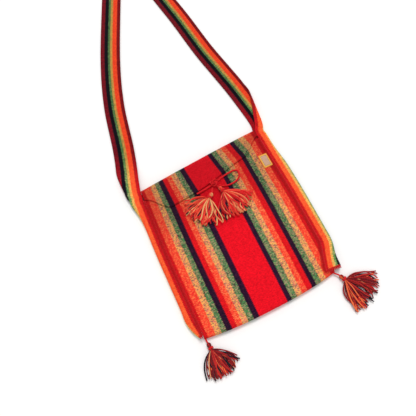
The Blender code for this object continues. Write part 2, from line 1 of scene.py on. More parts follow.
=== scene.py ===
"""The looks of the woven striped shoulder bag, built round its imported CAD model.

The cloth and the band follow the CAD model's shapes, apart from the departures named below, with their
weave worked out thread by thread. The seams, the tie, the label's stitches and the tassels are built from
single yarns. Lengths are in metres.
"""

import math
import random

import bpy
import numpy as np
from mathutils import Matrix, Vector


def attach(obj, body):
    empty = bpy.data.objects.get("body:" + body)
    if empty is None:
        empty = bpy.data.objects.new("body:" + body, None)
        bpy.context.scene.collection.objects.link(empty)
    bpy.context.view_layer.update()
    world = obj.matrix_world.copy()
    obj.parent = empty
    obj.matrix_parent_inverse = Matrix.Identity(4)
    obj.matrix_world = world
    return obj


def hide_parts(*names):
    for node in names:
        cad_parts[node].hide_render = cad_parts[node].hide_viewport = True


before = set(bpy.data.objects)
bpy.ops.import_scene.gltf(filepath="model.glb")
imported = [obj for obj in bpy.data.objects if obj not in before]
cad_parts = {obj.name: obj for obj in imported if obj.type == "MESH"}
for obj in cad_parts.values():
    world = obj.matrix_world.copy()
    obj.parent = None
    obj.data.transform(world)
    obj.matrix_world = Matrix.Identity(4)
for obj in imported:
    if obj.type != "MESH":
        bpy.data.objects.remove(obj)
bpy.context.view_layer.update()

# Cloth, as in the CAD model
CLOTH_WIDTH = 0.240
BAG_LENGTH = 0.287
CLOTH_THICKNESS = 0.0022
POUCH_GAP = 0.0090
TOP_NARROWING = 0.030
LEAN = 0.018
TOP_SLANT = 0.0087
CORNER_RISE = 0.0080
CORNER_RISE_POWER = 2.5
FLAP_DEPTH_LEFT = 0.053
FLAP_DEPTH_RIGHT = 0.037
FLAP_DEPTH_CHANGES = (-0.30, 0.75)
FLAP_CORNER_START = 0.66
FLAP_CORNER_RISE = 0.65
FLAP_CLEARANCE = 0.0006
FLAP_STEP_START = 0.0055
FLAP_STEP_END = 0.0020
MOUTH_SETBACK = 0.014
SKEW_END_SHARE = 0.42
BOTTOM_FULLNESS = 0.45
BOTTOM_FILL_SHARE = 0.40
MOUTH_FULLNESS = 0.75
MOUTH_FILL_SHARE = 0.45

# Stripes from the middle outwards: width in mm, then the colours of three yarns that share it
CLOTH_STRIPES = (
    (25.25, (244, 14, 34), (232, 10, 30), (220, 8, 26)),
    (9.5, (38, 12, 40), (60, 20, 48), (26, 10, 34)),
    (9.5, (78, 132, 78), (164, 150, 110), (74, 70, 58)),
    (10.0, (246, 180, 98), (228, 122, 100), (156, 112, 86)),
    (10.0, (250, 78, 50), (242, 52, 44), (255, 126, 76)),
    (9.0, (232, 20, 28), (220, 16, 26), (206, 14, 24)),
    (9.5, (36, 12, 38), (56, 18, 44), (24, 10, 32)),
    (9.0, (76, 130, 76), (160, 146, 106), (72, 68, 56)),
    (10.0, (244, 176, 94), (226, 120, 98), (154, 110, 84)),
    (11.0, (248, 72, 48), (240, 50, 42), (254, 118, 70)),
    (9.0, (216, 18, 26), (204, 16, 24), (190, 14, 22)),
)

# Band, from the edge sewn to the front panel across to the edge sewn to the back
BAND_STRIPES = (
    (6.5, (212, 20, 28), (200, 18, 26), (186, 16, 24)),
    (8.5, (252, 92, 46), (246, 74, 40), (254, 110, 54)),
    (3.2, (250, 190, 96), (226, 160, 80), (206, 172, 92)),
    (4.2, (96, 148, 80), (168, 176, 112), (84, 116, 70)),
    (7.6, (10, 8, 20), (18, 12, 26), (4, 4, 12)),
    (8.0, (176, 16, 28), (160, 14, 26), (150, 12, 24)),
)
# Painted shade: the band's stripes in darker colours on the strap than on the gussets
STRAP_SHADED_COLOURS = (
    ((128, 10, 18), (112, 8, 16), (98, 6, 14)),
    ((240, 72, 34), (230, 62, 30), (222, 56, 28)),
    ((204, 150, 70), (180, 128, 60), (150, 132, 64)),
    ((74, 116, 62), (104, 130, 78), (58, 88, 52)),
    ((6, 5, 14), (12, 8, 20), (2, 2, 8)),
    ((124, 12, 28), (106, 10, 24), (92, 8, 20)),
)
BAND_WIDTH = 0.038
BAND_THICKNESS = 0.0022
BAND_FOLD_RADIUS = 0.0032
SIDE_SKEW = 0.0040
CORNER_LENGTH = 0.036
CORNER_GATHER = 0.75
CORNER_GATHER_POWER = 1.6
BAND_END_RISE = 0.0045

# Departures from the CAD model, in the band's unfolding and ends, the joint, the flap and the front
UNFOLD_STARTS = {-1: -0.036, 1: -0.005}
UNFOLD_LENGTHS = {-1: 0.120, 1: 0.140}
END_TURN_LENGTH = 0.052
END_TURN_FOLD = 0.0305
END_TURN_REACH = 0.0120
END_TURN_LIFT = 0.0032
END_BOUND_COLUMNS = {-1: 13, 1: 20}
JOINT_CLOSING = 0.85
JOINT_CLOSING_LENGTH = 0.008
FLAP_PULL = 0.0068
FLAP_PULL_CENTRE = 0.45
FLAP_PULL_REACH = 1.25
FLAP_PULL_SIDE = 0.22
FLAP_PULL_FADE = 2.5
RIPPLE_HEIGHT = 0.00022

# Each wave of the front panel: its share of the height, how fast it runs up and across, and its start
RIPPLES = ((1.0, 26, 2.1, 0), (0.7, 61, -4.0, 1.3), (0.5, 34, 9.0, 0))

# Shoulder strap
LEFT_ROUTE = ((0.0124, 0.0165), (0.0293, 0.0790), (0.0492, 0.1719), (0.0808, 0.2662), (0.1378, 0.3996))
RIGHT_ROUTE = (
    (0.0024, 0.0315),
    (-0.0045, 0.0995),
    (-0.0115, 0.1450),
    (-0.0223, 0.2116),
    (-0.0316, 0.2991),
    (-0.0412, 0.3683),
)
LOOP_TOP = (0.0682, 0.5615)
LEFT_LEAN = math.radians(23.1)
RIGHT_LEAN = math.radians(-8.6)
LOOP_RADIUS = 0.0040
LOOP_SETTLE_LENGTH = 0.160
LEAST_ROW = 0.001
RUN_REACH = 3

# Seams, label and clearances
CLEARANCE = 0.0003
SEAM_RADIUS = 0.0008
SEAM_END_RISE = 0.006
SEAM_END_DROP = 0.002
STITCH_PITCH = 0.0026
STITCH_RADIUS = 0.00085
STITCH_REACH = 0.0026
STITCH_SLANT = 0.30
STITCH_ARCH = 2.6
STITCH_ARCH_FALL = 2.2
STITCH_STEPS = 8
LABEL_WIDTH = 0.0166
LABEL_HEIGHT = 0.0255
LABEL_THICKNESS = 0.0008
LABEL_INSET = 0.0008
LABEL_CENTRE_Y = 0.0900
LABEL_STITCH_INSET = 0.0013
LABEL_STITCH_LENGTH = 0.0022
LABEL_STITCH_ARCH = 0.00035
LABEL_THREAD_RADIUS = 0.0003
LABEL_CUP = 0.00035

# Tie and tassels, as in the CAD model but for the tail's last point and the short cords' bends and ends
TIE_RADIUS = 0.0015
KNOT_SIZE = 0.0024
KNOT_TUBE_RADIUS = 0.0011
KNOT_FLATNESS = 0.85
KNOT_LENGTHENING = 0.95
KNOT_REACH = 0.006
KNOT_PLACE = (0.0068, 0.0535)
TAIL_ROUTE = ((-0.0285, 0.0587), (-0.0200, 0.0580), (-0.0105, 0.0571), (-0.0012, 0.0555), (0.0050, 0.0540))
LOOP_ROUTE = (
    (0.0160, 0.0520),
    (0.0260, 0.0490),
    (0.0390, 0.0470),
    (0.0500, 0.0467),
    (0.0550, 0.0500),
    (0.0550, 0.0560),
    (0.0515, 0.0620),
    (0.0440, 0.0663),
    (0.0340, 0.0678),
    (0.0250, 0.0667),
    (0.0170, 0.0635),
    (0.0128, 0.0603),
)
LEFT_LEG_START = (0.0010, 0.0601)
RIGHT_LEG_START = (0.0092, 0.0609)
WAIST_RADIUS = 0.0028
HEAD_RADIUS = 0.0038
HEAD_LENGTH = 0.0065
WRAP_TURNS = 3
WRAP_TURN_RADIUS = 0.0007
TASSEL_THICKNESS = 0.0120
CORD_CAP_GAP = 0.0005
CORD_STRAIGHT = 0.0010
CORD_SPACING = 0.0004
CORD_TWIST = 0.0075
LEG_BEND = 0.4
LEG_END_REACH = 0.0012
CORNER_CORD_RADIUS = 0.0013
CORNER_CORD_START = 0.0020
CORNER_CORD_DROP = 0.0024
CORNER_CORD_REACH = 0.0014
KNOT_POINTS = 160
TIE_TASSEL_LEFT = {"neck": (-0.0120, 0.0745), "heading": -52.0, "spread": 42.0, "length": 0.047}
TIE_TASSEL_RIGHT = {"neck": (0.0140, 0.0730), "heading": 19.0, "spread": 39.0, "length": 0.050}
CORNER_TASSEL_LEFT = {"neck": (0.0000, 0.0095), "heading": 5.0, "spread": 34.0, "length": 0.046}
CORNER_TASSEL_RIGHT = {"neck": (0.0065, 0.0095), "heading": 27.0, "spread": 44.0, "length": 0.054}

# Weave: a warp yarn's width and how far it rises between its neighbours
YARN_WIDTH = 0.0014
YARN_RISE = 0.00010
FLOAT_LENGTH = 0.0029
INNER_STRIDE = 4
TOOTH_SHARE = 0.55
SIDE_FALL = 3.2
END_FALL = 3.0
FIBRES_ACROSS = 6.0
FIBRES_ALONG = 1.6
RIM_SHARE = 0.62

# Where painted shade makes the colours darker towards the top, and how much of each stripe its three yarns
# take
TOP_SHADE = 0.85
SHADE_START = -0.02
SHADE_LENGTH = 0.12
STRAP_SHADE_LENGTH = 0.09
SECOND_YARN_FROM = 0.45
THIRD_YARN_FROM = 0.76

# Rows along the cloth and the band
FLAP_ROWS = 36
FOLD_ROWS = 14
BACK_ROWS = 188
FRONT_ROWS = 184
GUSSET_ROWS = 120
STRAP_ROWS = 40
LABEL_COLUMNS = 20
LABEL_ROWS = 30

# Camera, floor and light
CAMERA_LENS = 38.08
CAMERA_SENSOR = 36
CAMERA_PLACE = (-0.1257, -0.1549, 0.7323)
CAMERA_RIGHT = (0.8965, -0.4431, 0)
CAMERA_BACK = (-0.1369, -0.2770, 0.9511)
FLOOR_REACH = 6.0
FLOOR_DROP = 0.0004
FLOOR_COLOUR = (0.98, 0.975, 0.97, 1)
WORLD_COLOUR = (1, 0.99, 0.98, 1)
WORLD_STRENGTH = 0.66
SUN_STRENGTH = 1.55
SUN_ANGLE = 22
SUN_FROM = (0.25, 0.55, 1.0)

# Finish of cloth and yarn
ROUGHNESS = 0.92
SPECULAR = 0.12
SHEEN_ROUGHNESS = 0.5
BUMP_STRENGTH = 0.7
WEAVE_BUMP = 0.00035
YARN_BUMP = 0.0003
LABEL_BUMP = 0.00012
NOISE_DETAIL = 3.0
PLY_GROOVE = 0.80
PLY_RIDGE = 0.26

# Tassel yarns
YARNS_IN_TASSEL = 84
YARN_RADIUS = 0.00112
YARN_RADIUS_AT_WAIST = 0.00045
YARN_STEPS = 13
YARN_LENGTHS = (0.84, 1.04)
YARN_THICKNESSES = (0.85, 1.12)
HEAD_SECTIONS = ((1.0, 0.25), (0.93, 0.55), (0.75, 0.86), (0.50, 1.0), (0.28, 0.96), (0.10, 0.80))
HEAD_CORE_SHARE = 0.3
HEAD_SWELL = 1.25
FLARE = 1.75
TIP_SHARE = 0.30
VEER = 15
CURL = 58
CURL_RATE = 4
OPENING_RATE = 3.5
TIP_THINNING = 0.5
GOLDEN_ANGLE = 2.399963
ANGLE_PLAY = 0.2
COLOUR_GROUPS = 9
GROUP_SHARE = 0.6
BELOW_ONE = 0.999
WINDING_STEPS = 24
WINDING_SWELL = 1.12

# Yarn colours: where each stretch of a yarn's own number starts, and its colour
TIE_COLOURS = ((0, (222, 24, 32)), (0.99, (180, 16, 28)))
SEAM_COLOURS = ((0, (214, 20, 28)), (0.5, (222, 22, 28)))
LABEL_THREAD_COLOURS = ((0, (250, 190, 96)), (0.99, (240, 180, 90)))
TIE_TASSEL_COLOURS = (
    (0.00, (232, 34, 36)),
    (0.26, (244, 70, 50)),
    (0.48, (250, 104, 70)),
    (0.62, (196, 20, 30)),
    (0.72, (248, 186, 120)),
    (0.82, (34, 14, 34)),
    (0.90, (246, 146, 96)),
    (0.98, (126, 136, 84)),
)
CORNER_TASSEL_COLOURS = (
    (0.00, (158, 20, 26)),
    (0.24, (206, 40, 36)),
    (0.40, (252, 116, 66)),
    (0.56, (120, 14, 24)),
    (0.66, (26, 12, 28)),
    (0.84, (240, 160, 110)),
    (0.91, (186, 30, 30)),
    (0.985, (110, 122, 72)),
)

# Label colours: how far in from the label's edge each one starts, as a share of half its width
LABEL_COLOURS = ((0, (250, 176, 74)), (0.16, (255, 208, 96)), (0.30, (150, 92, 62)), (0.36, (206, 166, 142)))

HALF_LENGTH = BAG_LENGTH / 2
JOINT = 2 * (CLEARANCE + SEAM_RADIUS)
BACK_Z = CLOTH_THICKNESS / 2
EDGE_Z = BACK_Z + 2 * BAND_FOLD_RADIUS
MIDDLE_Z = CLOTH_THICKNESS + POUCH_GAP + CLOTH_THICKNESS / 2
FLAP_LIFT = CLOTH_THICKNESS + FLAP_CLEARANCE
BACK_SHIFT = 2 * SIDE_SKEW
WRAP_RADIUS = WAIST_RADIUS + CLEARANCE + 2 * WRAP_TURN_RADIUS
WRAP_LENGTH = 2 * WRAP_TURN_RADIUS * WRAP_TURNS
MM_PER_METRE = 1000


# Camera, floor and light


def add_object(name, data):
    made = bpy.data.objects.new(name, data)
    bpy.context.scene.collection.objects.link(made)
    return made


def make_camera():
    """The photograph's camera: looking down at the bag from its lower left."""
    data = bpy.data.cameras.new("camera")
    data.lens = CAMERA_LENS
    data.sensor_width = CAMERA_SENSOR
    camera = add_object("camera", data)
    camera.location = CAMERA_PLACE
    right = Vector(CAMERA_RIGHT)
    back = Vector(CAMERA_BACK)
    up = back.cross(right)
    camera.rotation_mode = "QUATERNION"
    camera.rotation_quaternion = Matrix((right, up, back)).transposed().to_quaternion()
    bpy.context.scene.camera = camera


def make_stage():
    """A white floor that keeps the bag's shadow, even light from all round and one soft sun."""
    mesh = bpy.data.meshes.new("floor")
    signs = ((-1, -1), (1, -1), (1, 1), (-1, 1))
    corners = [(FLOOR_REACH * x, FLOOR_REACH * y, -FLOOR_DROP) for x, y in signs]
    mesh.from_pydata(corners, [], [(0, 1, 2, 3)])
    floor = add_object("floor", mesh)
    white = bpy.data.materials.new("white_floor")
    white.use_nodes = True
    shader = white.node_tree.nodes["Principled BSDF"]
    shader.inputs["Base Color"].default_value = FLOOR_COLOUR
    shader.inputs["Roughness"].default_value = 1.0
    mesh.materials.append(white)

    world = bpy.data.worlds.new("room")
    bpy.context.scene.world = world
    world.use_nodes = True
    background = world.node_tree.nodes["Background"]
    background.inputs["Color"].default_value = WORLD_COLOUR
    background.inputs["Strength"].default_value = WORLD_STRENGTH

    sun = bpy.data.lights.new("sun", "SUN")
    sun.energy = SUN_STRENGTH
    sun.angle = math.radians(SUN_ANGLE)
    lamp = add_object("sun", sun)
    lamp.rotation_mode = "QUATERNION"
    lamp.rotation_quaternion = Vector(SUN_FROM).to_track_quat("Z", "Y")


# Shader helpers


def linear(colour):
    """A colour in sRGB, 0 to 255, as the linear values that a shader takes."""
    shares = [value / 255 for value in colour]
    return tuple(v / 12.92 if v <= 0.04045 else ((v + 0.055) / 1.055) ** 2.4 for v in shares) + (1,)


class Nodes:
    """Adds nodes to one material and links them."""

    def __init__(self, name, sheen):
        self.material = bpy.data.materials.new(name)
        self.material.use_nodes = True
        self.tree = self.material.node_tree
        self.shader = self.tree.nodes["Principled BSDF"]
        self.shader.inputs["Roughness"].default_value = ROUGHNESS
        self.shader.inputs["Specular IOR Level"].default_value = SPECULAR
        self.shader.inputs["Sheen Weight"].default_value = sheen
        self.shader.inputs["Sheen Roughness"].default_value = SHEEN_ROUGHNESS

    def set(self, socket, value):
        """Links a socket to another one, or gives it a constant."""
        if isinstance(value, bpy.types.NodeSocket):
            self.tree.links.new(value, socket)
        else:
            socket.default_value = value

    def math(self, operation, first, second=0.0):
        node = self.tree.nodes.new("ShaderNodeMath")
        node.operation = operation
        for socket, value in zip(node.inputs, (first, second)):
            self.set(socket, value)
        return node.outputs[0]

    def times(self, first, second):
        return self.math("MULTIPLY", first, second)

    def plus(self, first, second):
        return self.math("ADD", first, second)

    def minus(self, first, second):
        return self.math("SUBTRACT", first, second)

    def attribute(self, name):
        """The three numbers that a mesh keeps at its points."""
        node = self.tree.nodes.new("ShaderNodeAttribute")
        node.attribute_name = name
        split = self.tree.nodes.new("ShaderNodeSeparateXYZ")
        self.set(split.inputs[0], node.outputs["Vector"])
        return split.outputs

    def point(self, x, y, z=0.0):
        node = self.tree.nodes.new("ShaderNodeCombineXYZ")
        for socket, value in zip(node.inputs, (x, y, z)):
            self.set(socket, value)
        return node.outputs[0]

    def chance(self, point):
        """A number from 0 to 1 that jumps from one whole-number point to the next."""
        node = self.tree.nodes.new("ShaderNodeTexWhiteNoise")
        node.noise_dimensions = "3D"
        self.set(node.inputs["Vector"], point)
        return node.outputs["Value"]

    def noise(self, point, scale):
        """A number from 0 to 1 that changes smoothly."""
        node = self.tree.nodes.new("ShaderNodeTexNoise")
        self.set(node.inputs["Vector"], point)
        node.inputs["Scale"].default_value = scale
        node.inputs["Detail"].default_value = NOISE_DETAIL
        return node.outputs["Fac"]

    def ramp(self, factor, stops):
        """A colour for each stretch of a number: stops holds (where it starts, sRGB colour)."""
        node = self.tree.nodes.new("ShaderNodeValToRGB")
        node.color_ramp.interpolation = "CONSTANT"
        elements = node.color_ramp.elements
        elements.remove(elements[1])
        elements[0].color = linear(stops[0][1])
        for start, colour in stops[1:]:
            elements.new(start).color = linear(colour)
        self.set(node.inputs[0], factor)
        return node.outputs["Color"]

    def mix(self, factor, first, second, blend="MIX"):
        node = self.tree.nodes.new("ShaderNodeMix")
        node.data_type = "RGBA"
        node.blend_type = blend
        self.set(node.inputs["Factor"], factor)
        self.set(node.inputs[6], first)
        self.set(node.inputs[7], second)
        return node.outputs[2]

    def grey(self, value):
        """A grey colour from a number."""
        node = self.tree.nodes.new("ShaderNodeCombineColor")
        for socket in node.inputs:
            self.set(socket, value)
        return node.outputs[0]

    def lit(self, colour, least, *shares):
        """The colour times a light that starts at least and grows by a share of each number."""
        light = least
        for value, share in shares:
            light = self.plus(light, self.times(value, share))
        return self.mix(1.0, colour, self.grey(light), "MULTIPLY")

    def finish(self, colour, height, distance):
        """Gives the shader its colour, and its bump in metres."""
        bump = self.tree.nodes.new("ShaderNodeBump")
        bump.inputs["Strength"].default_value = BUMP_STRENGTH
        bump.inputs["Distance"].default_value = distance
        self.set(bump.inputs["Height"], height)
        self.set(self.shader.inputs["Base Color"], colour)
        self.set(self.shader.inputs["Normal"], bump.outputs["Normal"])
        return self.material


def weave_material(name, stripes, shaded_palette, middle, mirrored):
    """Warp-faced weave, drawn yarn by yarn from the mesh's weave attribute.

    The attribute counts warp yarns across and rows along. Each yarn rises over two rows and dips
    between, half a step off its neighbours, so stripes meet in small teeth. middle is how far across, in
    mm, the stripes start, and mirrored says that they run out from it both ways. The attribute's third
    number is 1 where the cloth has the colours of stripes, and 0 where it has the darker colours of the
    second palette, which are painted shade.
    """
    nodes = Nodes(name, 0.03)
    across, along, unshaded = nodes.attribute("weave")
    wave = nodes.minus(along, nodes.math("FLOOR", across))
    lean = nodes.times(nodes.math("COSINE", nodes.times(wave, math.pi)), TOOTH_SHARE)
    leaning = nodes.minus(across, lean)
    yarn = nodes.math("FLOOR", nodes.plus(leaning, 0.5))
    aside = nodes.minus(leaning, yarn)
    turns = nodes.times(nodes.plus(along, yarn), 0.5)
    rise = nodes.math("FLOOR", nodes.plus(turns, 0.5))
    ahead = nodes.minus(turns, rise)

    side_fall = nodes.times(nodes.times(aside, aside), SIDE_FALL)
    end_fall = nodes.times(nodes.times(ahead, ahead), END_FALL)
    crown = nodes.minus(nodes.minus(1.0, side_fall), end_fall)
    fibre_place = nodes.point(nodes.times(across, FIBRES_ACROSS), nodes.times(along, FIBRES_ALONG))
    fibre = nodes.noise(fibre_place, 1.0)
    height = nodes.plus(crown, nodes.times(fibre, 0.6))

    place = nodes.minus(nodes.times(yarn, YARN_WIDTH * MM_PER_METRE), middle)
    if mirrored:
        place = nodes.math("ABSOLUTE", place)
    total = sum(stripe[0] for stripe in stripes)
    share = nodes.math("DIVIDE", place, total)
    starts = [sum(stripe[0] for stripe in stripes[:index]) / total for index in range(len(stripes))]
    pick = nodes.chance(nodes.point(yarn, nodes.math("FLOOR", nodes.times(turns, 2.0)), 3.0))
    colours = []
    for palette in ([three for _, *three in stripes], shaded_palette):
        yarns = [
            nodes.ramp(share, [(start, three[number]) for start, three in zip(starts, palette)])
            for number in range(3)
        ]
        two = nodes.mix(nodes.math("GREATER_THAN", pick, SECOND_YARN_FROM), yarns[0], yarns[1])
        colours.append(nodes.mix(nodes.math("GREATER_THAN", pick, THIRD_YARN_FROM), two, yarns[2]))
    # Painted shade: the darker second palette where the third number falls towards 0
    colour = nodes.mix(unshaded, colours[1], colours[0])

    shade = nodes.chance(nodes.point(yarn, rise, 7.0))
    patches = nodes.noise(nodes.point(across, nodes.times(along, 0.35)), 0.09)
    # Painted shade in the gaps between yarns: each float darker towards its sides and ends, where its crown
    # falls. The per-float shade and the patches are random tone.
    raised = nodes.math("MAXIMUM", crown, -0.6)
    colour = nodes.lit(colour, 0.80, (shade, 0.16), (patches, 0.14), (raised, 0.14))
    return nodes.finish(colour, height, WEAVE_BUMP)


# Painted shade: the stripes' colours made darker, for the shaded top of the cloth
def dimmed(stripes, share):
    """The stripes' colours, a little darker."""
    return [[tuple(share * value for value in colour) for colour in three] for _, *three in stripes]


def yarn_material(name, stops, twists=2, shine=0.10):
    """Plied yarn: turns of its plies, fibres, and a colour picked by the yarn's own number."""
    nodes = Nodes(name, shine)
    around, along, number = nodes.attribute("yarn")
    ply = nodes.minus(nodes.times(around, twists), along)
    groove = nodes.math("ABSOLUTE", nodes.math("SINE", nodes.times(ply, math.pi)))
    fibre = nodes.noise(nodes.point(nodes.times(ply, 5.0), along, number), 2.0)
    height = nodes.plus(groove, nodes.times(fibre, 0.5))
    # Painted shade in the grooves between plies; the fibre noise is random tone
    colour = nodes.lit(nodes.ramp(number, stops), 0.66, (groove, 0.26), (fibre, 0.22))
    return nodes.finish(colour, height, YARN_BUMP)


# Meshes


def add_piece(name, mesh, material, replaced):
    """A piece of the bag, in the place of the CAD nodes that it stands for."""
    mesh.materials.append(material)
    made = add_object(name, mesh)
    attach(made, "root")
    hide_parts(*replaced)
    return made


def mesh_of(name, points, faces, attribute, values):
    """A smooth mesh with three numbers kept at each point."""
    mesh = bpy.data.meshes.new(name)
    mesh.from_pydata(points, [], faces)
    mesh.polygons.foreach_set("use_smooth", [True] * len(faces))
    layer = mesh.attributes.new(attribute, "FLOAT_VECTOR", "POINT")
    layer.data.foreach_set("vector", np.asarray(values, np.float32).ravel())
    mesh.update()
    return mesh


def grid_normals(grid):
    """Unit normals of a grid of points, from rows along and columns across."""
    along = np.gradient(grid, axis=0)
    across = np.gradient(grid, axis=1)
    normals = np.cross(across, along)
    return normals / np.linalg.norm(normals, axis=2, keepdims=True)


def closed_sheet(name, grid, thickness, stride, flip, unshaded_shares, raised_by=YARN_RISE):
    """A woven sheet with real thickness: a fine outer face with its weave raised, a coarser inner face
    and a rim. stride is how many outer cells one inner cell spans, and flip turns the faces round."""
    rows, columns, _ = grid.shape
    normals = grid_normals(grid) * (-1 if flip else 1)
    row_numbers = np.arange(rows)[:, None] + np.zeros((1, columns))
    column_numbers = np.arange(columns)[None, :] + np.zeros((rows, 1))
    raised = np.where((row_numbers + column_numbers) % 2 == 0, raised_by, -raised_by)
    edge = np.minimum(np.minimum(row_numbers, rows - 1 - row_numbers), 2) / 2
    half = thickness / 2 * (RIM_SHARE + (1 - RIM_SHARE) * edge)
    outer = grid + normals * (half + raised)[..., None]
    relief = raised if stride == 1 else 0
    inner = (grid - normals * (half + relief)[..., None])[::stride, ::stride]
    # The weave attribute's third number: 1 where the colours have no painted shade, 0 where they have it
    # fully
    weave = np.stack([column_numbers, row_numbers, np.broadcast_to(unshaded_shares, (rows, columns))], axis=2)
    inner_rows, inner_columns, _ = inner.shape
    base = rows * columns

    def out(row, column):
        return row * columns + column

    def within(row, column):
        return base + row * inner_columns + column

    faces = []
    for row in range(rows - 1):
        for column in range(columns - 1):
            corner = out(row, column)
            faces.append((corner, corner + 1, corner + 1 + columns, corner + columns))
    for row in range(inner_rows - 1):
        for column in range(inner_columns - 1):
            corner = within(row, column)
            faces.append((corner, corner + inner_columns, corner + 1 + inner_columns, corner + 1))
    for step in range(inner_columns - 1):
        low = [out(0, step * stride + k) for k in range(stride, -1, -1)]
        faces.append((*low, within(0, step), within(0, step + 1)))
        high = [out(rows - 1, step * stride + k) for k in range(stride + 1)]
        faces.append((*high, within(inner_rows - 1, step + 1), within(inner_rows - 1, step)))
    for step in range(inner_rows - 1):
        left = [out(step * stride + k, 0) for k in range(stride + 1)]
        faces.append((*left, within(step + 1, 0), within(step, 0)))
        right = [out(step * stride + k, columns - 1) for k in range(stride, -1, -1)]
        faces.append((*right, within(step, inner_columns - 1), within(step + 1, inner_columns - 1)))
    if flip:
        faces = [face[::-1] for face in faces]
    points = np.concatenate([outer.reshape(-1, 3), inner.reshape(-1, 3)])
    values = np.concatenate([weave.reshape(-1, 3), weave[::stride, ::stride].reshape(-1, 3)])
    return mesh_of(name, points.tolist(), faces, "weave", values)


class Yarns:
    """Collects round yarns into one mesh. Each point keeps its place round the yarn, its turns along
    it and the yarn's own number."""

    def __init__(self):
        self.points = []
        self.faces = []
        self.values = []

    def add(self, path, radii, number=0.5, sides=8, pitch=0.006, plies=0, phase=0.0, cyclic=False):
        """One yarn along a path, with a radius at each point. plies gives it that many ridges."""
        path = [Vector(point) for point in path]
        count = len(path)
        side = None
        start = len(self.points)
        gone = 0.0
        for index, point in enumerate(path):
            before = path[index - 1] if cyclic or index else path[0]
            after = path[(index + 1) % count] if cyclic or index < count - 1 else path[-1]
            run = (after - before).normalized()
            if side is None:
                side = run.orthogonal().normalized()
            side = (side - run * side.dot(run)).normalized()
            other = run.cross(side)
            if index:
                gone += (point - path[index - 1]).length
            for step in range(sides):
                share = step / sides
                turn = 2 * math.pi * share
                radius = radii[index]
                if plies:
                    ridge = abs(math.sin(plies * turn / 2 - math.pi * gone / pitch * plies / 2 + phase))
                    radius *= PLY_GROOVE + PLY_RIDGE * ridge
                self.points.append(point + (side * math.cos(turn) + other * math.sin(turn)) * radius)
                self.values.append((share, gone / pitch, number))
        rings = count if cyclic else count - 1
        for ring in range(rings):
            low = start + ring * sides
            high = start + (ring + 1) % count * sides
            for step in range(sides):
                after = (step + 1) % sides
                self.faces.append((low + step, low + after, high + after, high + step))
        if not cyclic:
            self.faces.append(tuple(start + step for step in reversed(range(sides))))
            last = start + (count - 1) * sides
            self.faces.append(tuple(last + step for step in range(sides)))

    def mesh(self, name):
        return mesh_of(name, [tuple(point) for point in self.points], self.faces, "yarn", self.values)


# Shapes of the cloth and the band, which follow the CAD model but for the departures named above


def ease(share):
    """A smooth step from 0 to 1."""
    share = min(1, max(0, share))
    return share * share * (3 - 2 * share)


def mix(first, second, share):
    return first + (second - first) * share


def smooth_route(points, per_span):
    """Points on a smooth curve that passes through the given ones."""
    ends = [2 * Vector(points[0]) - Vector(points[1]), 2 * Vector(points[-1]) - Vector(points[-2])]
    through = [ends[0], *map(Vector, points), ends[1]]
    found = []
    for before, start, finish, after in zip(through, through[1:], through[2:], through[3:]):
        for step in range(per_span):
            t = step / per_span
            found.append(
                0.5
                * (
                    2 * start
                    + (finish - before) * t
                    + (2 * before - 5 * start + 4 * finish - after) * t**2
                    + (3 * start - before - 3 * finish + after) * t**3
                )
            )
    found.append(Vector(points[-1]))
    return found


def top_y(across):
    return HALF_LENGTH + TOP_SLANT * across


def bottom_y(across):
    return -HALF_LENGTH + CORNER_RISE * abs(across) ** CORNER_RISE_POWER


def mouth_y(across):
    return top_y(across) - MOUTH_SETBACK


def half_width(y):
    return CLOTH_WIDTH / 2 * (1 - TOP_NARROWING * ease(y / HALF_LENGTH))


def skew(y):
    end = SKEW_END_SHARE * HALF_LENGTH
    return ease((mouth_y(-1) - y) / end) * ease((y - bottom_y(1)) / end)


def cloth_x(across, y):
    return LEAN * y + across * half_width(y)


def back_x(across, y):
    return cloth_x(across, y) + BACK_SHIFT * skew(y)


def ripple(across, y):
    """Slight waves of the soft front panel, none at its sewn sides."""
    waves = 0
    for size, up_rate, side_rate, start in RIPPLES:
        waves += size * math.sin(up_rate * y + side_rate * across + start)
    return RIPPLE_HEIGHT * waves * (1 - across**2)


def front_z(across, y):
    low = mix(BOTTOM_FULLNESS, 1, ease((1 + y / HALF_LENGTH) / BOTTOM_FILL_SHARE))
    high = mix(MOUTH_FULLNESS, 1, ease((1 - y / HALF_LENGTH) / MOUTH_FILL_SHARE))
    return EDGE_Z + (MIDDLE_Z - EDGE_Z) * (1 - across**2) * low * high + ripple(across, y)


def flap_y(across):
    start, finish = FLAP_DEPTH_CHANGES
    depth = mix(FLAP_DEPTH_LEFT, FLAP_DEPTH_RIGHT, ease((across - start) / (finish - start)))
    corner = ease((abs(across) - FLAP_CORNER_START) / (1 - FLAP_CORNER_START))
    return top_y(across) - depth * (1 - FLAP_CORNER_RISE * corner)


def top_fold_radius(across):
    return (front_z(across, mouth_y(across)) + FLAP_LIFT - BACK_Z) / 2


def bottom_fold_radius(across):
    return (front_z(across, bottom_y(across)) - BACK_Z) / 2


def flap_pull(across, weight):
    """How far the stripes of the flap are pulled to the left, most at its fold and none at its sides."""
    bump = max(0, 1 - ((across - FLAP_PULL_CENTRE) / FLAP_PULL_REACH) ** 2)
    return -FLAP_PULL * (bump * ease((1 - across) / FLAP_PULL_SIDE)) * weight


